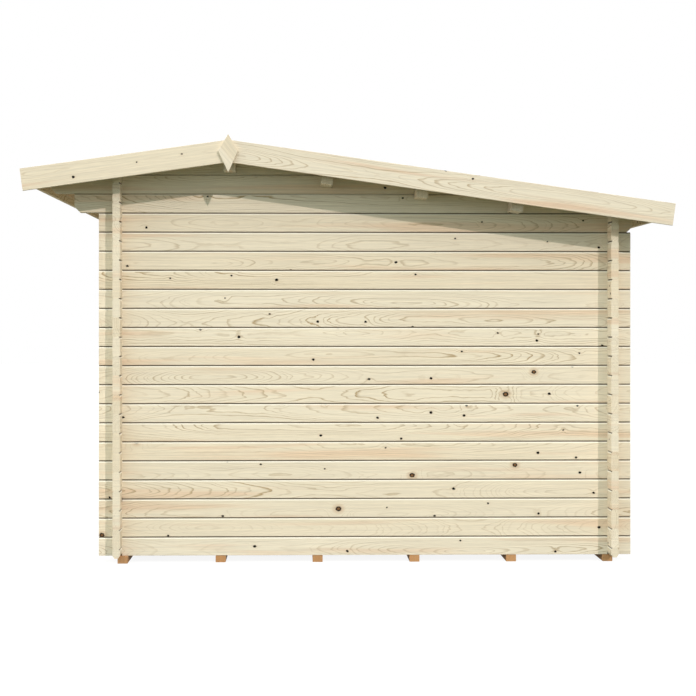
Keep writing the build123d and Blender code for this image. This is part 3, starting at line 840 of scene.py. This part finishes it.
def bright_steel(name, colour, roughness):
    """Bright steel with cloudy patches and fine brushing."""
    material, add = start_material(name)
    place = add("ShaderNodeTexCoord", output="Object")
    cloud = add(NOISE, {"Vector": place, "Scale": CLOUDS_PER_METRE, "Detail": 3.0})
    level = add(RANGE, (cloud, *NOISE_SPAN, *CLOUD_LEVELS))
    tone = add("ShaderNodeHueSaturation", {"Value": level, "Color": linear(colour)})
    scratches = stretched_noise(add, place, SCRATCHES_PER_METRE)
    gloss = add(RANGE, (cloud, *NOISE_SPAN, *[roughness + change for change in CLOUD_GLOSS]))
    bump = add("ShaderNodeBump", {"Height": scratches, "Strength": SCRATCH_STRENGTH,
                                  "Distance": SCRATCH_DEPTH})
    surface = add("ShaderNodeBsdfPrincipled", {"Base Color": tone, "Metallic": 1.0, "Roughness": gloss,
                                               "Normal": bump})
    add("ShaderNodeOutputMaterial", {"Surface": surface})
    return material


zinc = bright_steel("bright_zinc_plated_steel", "8F918F", 0.40)
satin = bright_steel("satin_brushed_steel", "A09F9A", 0.32)

# %% [markdown]
# ## Roof nails
# Each board is nailed twice to every purlin and wall that it crosses. A nail's round head is a
# short bar of few sides with its rim bevelled. An array makes the pair, a second array repeats
# it on each board, and a copy lies over each purlin and wall.

# %% One nail, then a row
NAIL_RADIUS = 4.0 * MM
NAIL_PROUD = 0.5 * MM
NAIL_DEPTH = 2.0 * MM
NAIL_SIDES = 8
NAIL_FROM_EDGE = 22 * MM
nail = start_bar("nail", (0, NAIL_FROM_EDGE, NAIL_PROUD - NAIL_DEPTH / 2), UP, NAIL_RADIUS, NAIL_DEPTH,
                 NAIL_SIDES)
with edit_mode():
    round_edges(NAIL_PROUD, 1, lambda middle, way: middle.z > 0 and abs(way.z) < 0.5)
repeat(nail, 2, (0, roof_cover - 2 * NAIL_FROM_EDGE, 0))
repeat(nail, roof_board_count, (0, roof_cover, 0))
print("a row has", 2 * roof_board_count, "nails")

# %% Nail lines
NAIL_FROM_RIDGE = 20 * MM
purlin_middles = [(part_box(f"purlin_{number}")[0].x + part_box(f"purlin_{number}")[1].x) / 2
                  for number in (1, 2, 3)]
nail_lines = {-1: (RIDGE_X - NAIL_FROM_RIDGE, (front_low.x + front_high.x) / 2),
              1: (RIDGE_X + NAIL_FROM_RIDGE, *purlin_middles, (back_low.x + back_high.x) / 2)}
rows = []
for side, line_places in nail_lines.items():
    for line_x in line_places:
        along = abs(line_x - RIDGE_X) / math.cos(PITCH)
        place = ridge_point + along * down_slope[side] - LEFTWARDS * side * ROOF_HALF_WIDTH
        rows.append(place_copy(nail, place, slope_turn(side)))
bpy.data.objects.remove(nail)
roof_nails = join("roof_nails", rows)
roof_nails.data.materials.append(zinc)
hand_over(roof_nails, "zinc_steel")

# %% [markdown]
# ## Door leaves
# A leaf is a frame of two stiles and two rails, with upright boards between them whose joints
# are V-shaped. The stiles run through from top to bottom and the rails stand between them, so
# the joints are where a joiner puts them. The frame's long edges are eased by 2 mm. Stiles,
# rails and boards get their own wood, because their grain runs differently.

# %% A timber with eased edges
EASED_EDGE = 2 * MM
EASED_SEGMENTS = 2


def runs_along(direction):
    """Test for edges that run along a direction."""
    return lambda middle, way: abs(way.dot(direction)) > 0.99


def eased_block(name, low, high, along, wood):
    """A planed timber with the four edges along its length eased."""
    piece = start_block(name, low, high)
    with edit_mode():
        round_edges(EASED_EDGE, EASED_SEGMENTS, runs_along(along))
    piece.data.materials.append(wood)
    return piece


# %% Joinery of a leaf
STILE_WIDTH = 95 * MM
PANEL_THICKNESS = 20 * MM
PANEL_BOARDS = 6
PANEL_VEE = 4 * MM


def panel_boards(low, high, cover, wood):
    """Upright boards between the stiles and rails, with V-shaped joints on both faces."""
    recess = (high.x - low.x - PANEL_THICKNESS) / 2
    board = start_block("panel_board", (low.x + recess, low.y + BOARD_GAP / 2, low.z),
                        (high.x - recess, low.y + cover - BOARD_GAP / 2, high.z))
    with edit_mode():
        round_edges(PANEL_VEE, 1, runs_along(UP))
    board.data.materials.append(wood)
    repeat(board, PANEL_BOARDS, (0, cover, 0))
    return board


def door_joinery(side, seed):
    """One leaf, made in the space of its solid."""
    low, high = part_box(f"{side}_door_leaf")
    depth = abs(low.x + high.x) / 2
    inset = Vector((0, STILE_WIDTH, STILE_WIDTH))
    panel_low = low + inset
    panel_high = high - inset
    cover = (panel_high.y - panel_low.y) / PANEL_BOARDS
    stile_wood = spruce(f"{side}_door_stile_planed_spruce", UP, LEFTWARDS, STILE_WIDTH, low.y, depth, seed,
                        TRIM, knots=0.12)
    rail_wood = spruce(f"{side}_door_rail_planed_spruce", LEFTWARDS, UP, STILE_WIDTH, low.z, depth, seed + 1,
                       TRIM, knots=0.12)
    board_wood = spruce(f"{side}_door_board_planed_spruce", UP, LEFTWARDS, cover, panel_low.y, depth,
                        seed + 2, TRIM, knots=0.25)
    timbers = []
    for start in (low.y, high.y - STILE_WIDTH):
        timbers.append(eased_block("stile", (low.x, start, low.z), (high.x, start + STILE_WIDTH, high.z), UP,
                                   stile_wood))
    for start in (low.z, high.z - STILE_WIDTH):
        timbers.append(eased_block("rail", (low.x, panel_low.y, start),
                                   (high.x, panel_high.y, start + STILE_WIDTH), LEFTWARDS, rail_wood))
    timbers.append(panel_boards(panel_low, panel_high, cover, board_wood))
    leaf = join(f"{side}_door_joinery", timbers)
    hand_over(leaf, "door_timber", f"{side}_door_leaf")


door_joinery("right", 20.3)
door_joinery("left", 22.3)

# %% [markdown]
# ## Hinges
# Six bright hinges hang the leaves. The flat plate has two rounded corners and four
# countersunk screws with a cross recess, and the barrel is five knuckles on a pin with a small
# cap at each end. One hinge is made about its own middle, on the right leaf's side, and the
# left leaf's ones are turned half round about the axis that runs out of the door.

# %% Screw head
SCREW_RADIUS = 4.2 * MM
SCREW_PROUD = 0.4 * MM
SCREW_DEPTH = 1.6 * MM
CROSS_HALF_WIDTH = 0.6 * MM
CROSS_REACH = 2.6 * MM


def in_cross(middle, facing):
    """Test for the front faces of a head that lie in its cross."""
    near, far = sorted((abs(middle.y), abs(middle.z)))
    return facing.x < -0.9 and near < CROSS_HALF_WIDTH and far < CROSS_REACH


def screw_head():
    """A flat head that faces the front, with a cross pushed into it."""
    head = start_bar("screw", (SCREW_DEPTH / 2 - SCREW_PROUD, 0, 0), BACKWARDS, SCREW_RADIUS, SCREW_DEPTH, 16)
    with edit_mode():
        round_edges(SCREW_PROUD, 1, lambda middle, way: middle.x < -SCREW_PROUD / 2 and abs(way.x) < 0.5)
        for reach in (CROSS_HALF_WIDTH, CROSS_REACH):
            for sign in (-1, 1):
                slice_at((0, sign * reach, 0), LEFTWARDS)
                slice_at((0, 0, sign * reach), UP)
        push_faces((SCREW_DEPTH / 2, 0, 0), in_cross)
    return head


# %% Hinge plate with its screws
HINGE_LENGTH = 90 * MM
CAP_LENGTH = 3 * MM
PLATE_WIDTH = 45 * MM
PLATE_THICKNESS = 2.5 * MM
PLATE_CORNER = 9 * MM
BROKEN_EDGE = 0.5 * MM
# Shares of the plate's width and length at which the screws sit
SCREW_PLACES = ((0.45, 0.37), (0.75, 0.18), (0.75, -0.18), (0.45, -0.37))
plate_length = HINGE_LENGTH - 2 * CAP_LENGTH
plate = start_block("plate", (-PLATE_THICKNESS, 0, -plate_length / 2), (0, PLATE_WIDTH, plate_length / 2))
with edit_mode():
    round_edges(PLATE_CORNER, 5, lambda middle, way: abs(way.x) > 0.9 and middle.y > PLATE_WIDTH / 2)
    round_edges(BROKEN_EDGE, 1,
                lambda middle, way: abs(middle.x + PLATE_THICKNESS) < TINY and abs(way.x) < 0.5)
head = screw_head()
screws = [place_copy(head, (-PLATE_THICKNESS, across * PLATE_WIDTH, up * plate_length))
          for across, up in SCREW_PLACES]
bpy.data.objects.remove(head)
print("a plate with", len(screws), "screws")

# %% Knuckles and pin
KNUCKLES = 5
KNUCKLE_GAP = 0.6 * MM
KNUCKLE_SIDES = 20
PIN_RADIUS = 3.5 * MM
PIN_SIDES = 16
PIN_DOME = 1.2 * MM
hinge_low, hinge_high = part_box("door_hinges")
BARREL_RADIUS = (hinge_high.x - hinge_low.x) / 2
knuckle_step = plate_length / KNUCKLES
knuckle = start_bar("knuckle", (-BARREL_RADIUS, BARREL_RADIUS, (knuckle_step - plate_length) / 2), UP,
                    BARREL_RADIUS, knuckle_step - KNUCKLE_GAP, KNUCKLE_SIDES)
with edit_mode():
    round_edges(BROKEN_EDGE, 1, lambda middle, way: abs(way.z) < 0.5)
repeat(knuckle, KNUCKLES, (0, 0, knuckle_step))
pin = start_bar("pin", (-BARREL_RADIUS, BARREL_RADIUS, 0), UP, PIN_RADIUS, HINGE_LENGTH, PIN_SIDES)
with edit_mode():
    round_edges(PIN_DOME, 2, lambda middle, way: abs(way.z) < 0.5)
hinge = join("hinge", [plate, *screws, knuckle, pin])
print("one hinge has", len(hinge.data.polygons), "faces")

# %% Six hinges
HINGES_PER_LEAF = 3
hinge_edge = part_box("right_door_leaf")[0].y
lowest = hinge_low.z + HINGE_LENGTH / 2
highest = hinge_high.z - HINGE_LENGTH / 2
hinges = []
for number in range(HINGES_PER_LEAF):
    height = lowest + (highest - lowest) * number / (HINGES_PER_LEAF - 1)
    hinges.append(place_copy(hinge, (FRONT_FACE, hinge_edge, height)))
    hinges.append(place_copy(hinge, (FRONT_FACE, -hinge_edge, height), (math.pi, 0, 0)))
bpy.data.objects.remove(hinge)
hinge_set = join("hinge_set", hinges)
hinge_set.data.materials.append(zinc)
hand_over(hinge_set, "zinc_steel", "door_hinges")

# %% [markdown]
# ## Lever handle
# The handle sits on a long plate with rounded corners. Its neck comes straight out, turns in a
# tight bend and runs on as the lever, so it is one bar: a disc is extruded, spun through a
# quarter turn and extruded again. The lock below it is a round boss with a keyway pushed in.

# %% Backplate and rose
BACKPLATE_WIDTH = 40 * MM
BACKPLATE_THICKNESS = 3 * MM
BACKPLATE_CORNER = 12 * MM
BACKPLATE_EDGE = 1 * MM
ROSE_RADIUS = 11 * MM
ROSE_HEIGHT = 4 * MM
ROSE_EDGE = 1.5 * MM
handle_low, handle_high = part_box("door_handle")
handle_y = handle_high.y - BACKPLATE_WIDTH / 2
handle_z = (handle_low.z + handle_high.z) / 2
plate_face = handle_high.x - BACKPLATE_THICKNESS
backplate = start_block("backplate", (plate_face, handle_high.y - BACKPLATE_WIDTH, handle_low.z), handle_high)
with edit_mode():
    round_edges(BACKPLATE_CORNER, 6, lambda middle, way: abs(way.x) > 0.9)
    round_edges(BACKPLATE_EDGE, 2,
                lambda middle, way: abs(middle.x - plate_face) < TINY and abs(way.x) < 0.5)
rose = start_bar("rose", (plate_face - ROSE_HEIGHT / 2, handle_y, handle_z), BACKWARDS, ROSE_RADIUS,
                 ROSE_HEIGHT, 28)
rose_rim = plate_face - 0.75 * ROSE_HEIGHT
with edit_mode():
    round_edges(ROSE_EDGE, 2, lambda middle, way: middle.x < rose_rim and abs(way.x) < 0.5)
print("handle at height", round(handle_z, 4))

# %% Lever
LEVER_RADIUS = 8 * MM
LEVER_SIDES = 20
LEVER_END = 3 * MM
BEND_RADIUS = 12 * MM
BEND_STEPS = 8
neck_end = handle_low.x + LEVER_RADIUS + BEND_RADIUS
bend_y = handle_y - BEND_RADIUS
bpy.ops.object.select_all(action="DESELECT")
bpy.ops.mesh.primitive_circle_add(vertices=LEVER_SIDES, radius=LEVER_RADIUS, fill_type="NGON",
                                  location=(plate_face, handle_y, handle_z), rotation=(0, -math.pi / 2, 0))
lever = bpy.context.object
lever.name = "lever"
bpy.ops.object.transform_apply()
with edit_mode():
    bpy.ops.mesh.select_all(action="SELECT")
    bpy.ops.mesh.extrude_region_move(TRANSFORM_OT_translate={"value": (neck_end - plate_face, 0, 0)})
    bpy.ops.mesh.spin(steps=BEND_STEPS, angle=-math.pi / 2, center=(neck_end, bend_y, handle_z), axis=UP)
    bpy.ops.mesh.extrude_region_move(TRANSFORM_OT_translate={"value": (0, handle_low.y - bend_y, 0)})
    round_edges(LEVER_END, 3, lambda middle, way: middle.y < handle_low.y + TINY)
    bpy.ops.mesh.select_all(action="SELECT")
    bpy.ops.mesh.remove_doubles(threshold=TINY)
    bpy.ops.mesh.normals_make_consistent(inside=False)
print("lever has", len(lever.data.polygons), "faces")

# %% Lock with its keyway
LOCK_DROP = 52 * MM
LOCK_RADIUS = 8.5 * MM
LOCK_HEIGHT = 3 * MM
KEYWAY_DEPTH = 2 * MM
KEYWAY_HALF_WIDTH = 0.8 * MM
KEYWAY_HALF_HEIGHT = 4 * MM
lock_z = handle_z - LOCK_DROP
lock = start_bar("lock", (plate_face - LOCK_HEIGHT / 2, handle_y, lock_z), BACKWARDS, LOCK_RADIUS,
                 LOCK_HEIGHT)
with edit_mode():
    for sign in (-1, 1):
        slice_at((0, handle_y + sign * KEYWAY_HALF_WIDTH, 0), LEFTWARDS)
        slice_at((0, 0, lock_z + sign * KEYWAY_HALF_HEIGHT), UP)
    push_faces((KEYWAY_DEPTH, 0, 0),
               lambda middle, facing: facing.x < -0.9 and abs(middle.y - handle_y) < KEYWAY_HALF_WIDTH
               and abs(middle.z - lock_z) < KEYWAY_HALF_HEIGHT)
lever_handle = join("lever_handle", [backplate, rose, lever, lock])
lever_handle.data.materials.append(satin)
bpy.ops.object.shade_smooth_by_angle(angle=math.radians(30))
hand_over(lever_handle, "zinc_steel", "door_handle")

# %% [markdown]
# ## Eased timbers
# Planed timber has its long edges eased, or they would splinter: a 2 mm round runs along each
# of them, while the sawn ends stay sharp. So each plain timber's mesh is copied, its loose
# triangles are merged back into flat faces, and the edges that run along the timber are
# bevelled. The copy then shows in the solid's place.

# %% Easing a solid
def ease_edges(name, slot, test):
    """Show a copy of a solid whose edges that pass a test are rounded."""
    piece = bpy.data.objects.new(f"{name}_timber", nodes[name].data.copy())
    scene.collection.objects.link(piece)
    activate(piece)
    bpy.ops.mesh.customdata_custom_splitnormals_clear()
    with edit_mode():
        bpy.ops.mesh.select_all(action="SELECT")
        bpy.ops.mesh.remove_doubles(threshold=TINY)
        bpy.ops.mesh.dissolve_limited(angle_limit=math.radians(1))
        round_edges(EASED_EDGE, EASED_SEGMENTS, test)
    hand_over(piece, slot, name)


# %% Timbers of the roof and the ground
for side in ("right", "left"):
    ease_edges(f"{side}_front_barge_board", "trim_board", runs_along(down_slope[-1]))
    ease_edges(f"{side}_back_barge_board", "trim_board", runs_along(down_slope[1]))
    ease_edges(f"{side}_finial", "trim_board", lambda middle, way: abs(way.y) < 0.01)
for name in EAVE_BOARDS:
    ease_edges(name, "trim_board", runs_along(LEFTWARDS))
for name in PURLINS:
    ease_edges(name, "purlin_timber", runs_along(LEFTWARDS))
for name in BEARERS:
    ease_edges(name, "treated_bearer", runs_along(LEFTWARDS))

# %% Timbers of the door frame
frame_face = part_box("door_head")[0].x
for name, direction in (("door_head", LEFTWARDS), ("door_threshold", LEFTWARDS),
                        ("right_door_jamb", UP), ("left_door_jamb", UP)):
    ease_edges(name, "door_timber", lambda middle, way: abs(way.dot(direction)) > 0.99
               and middle.x < frame_face + TINY)
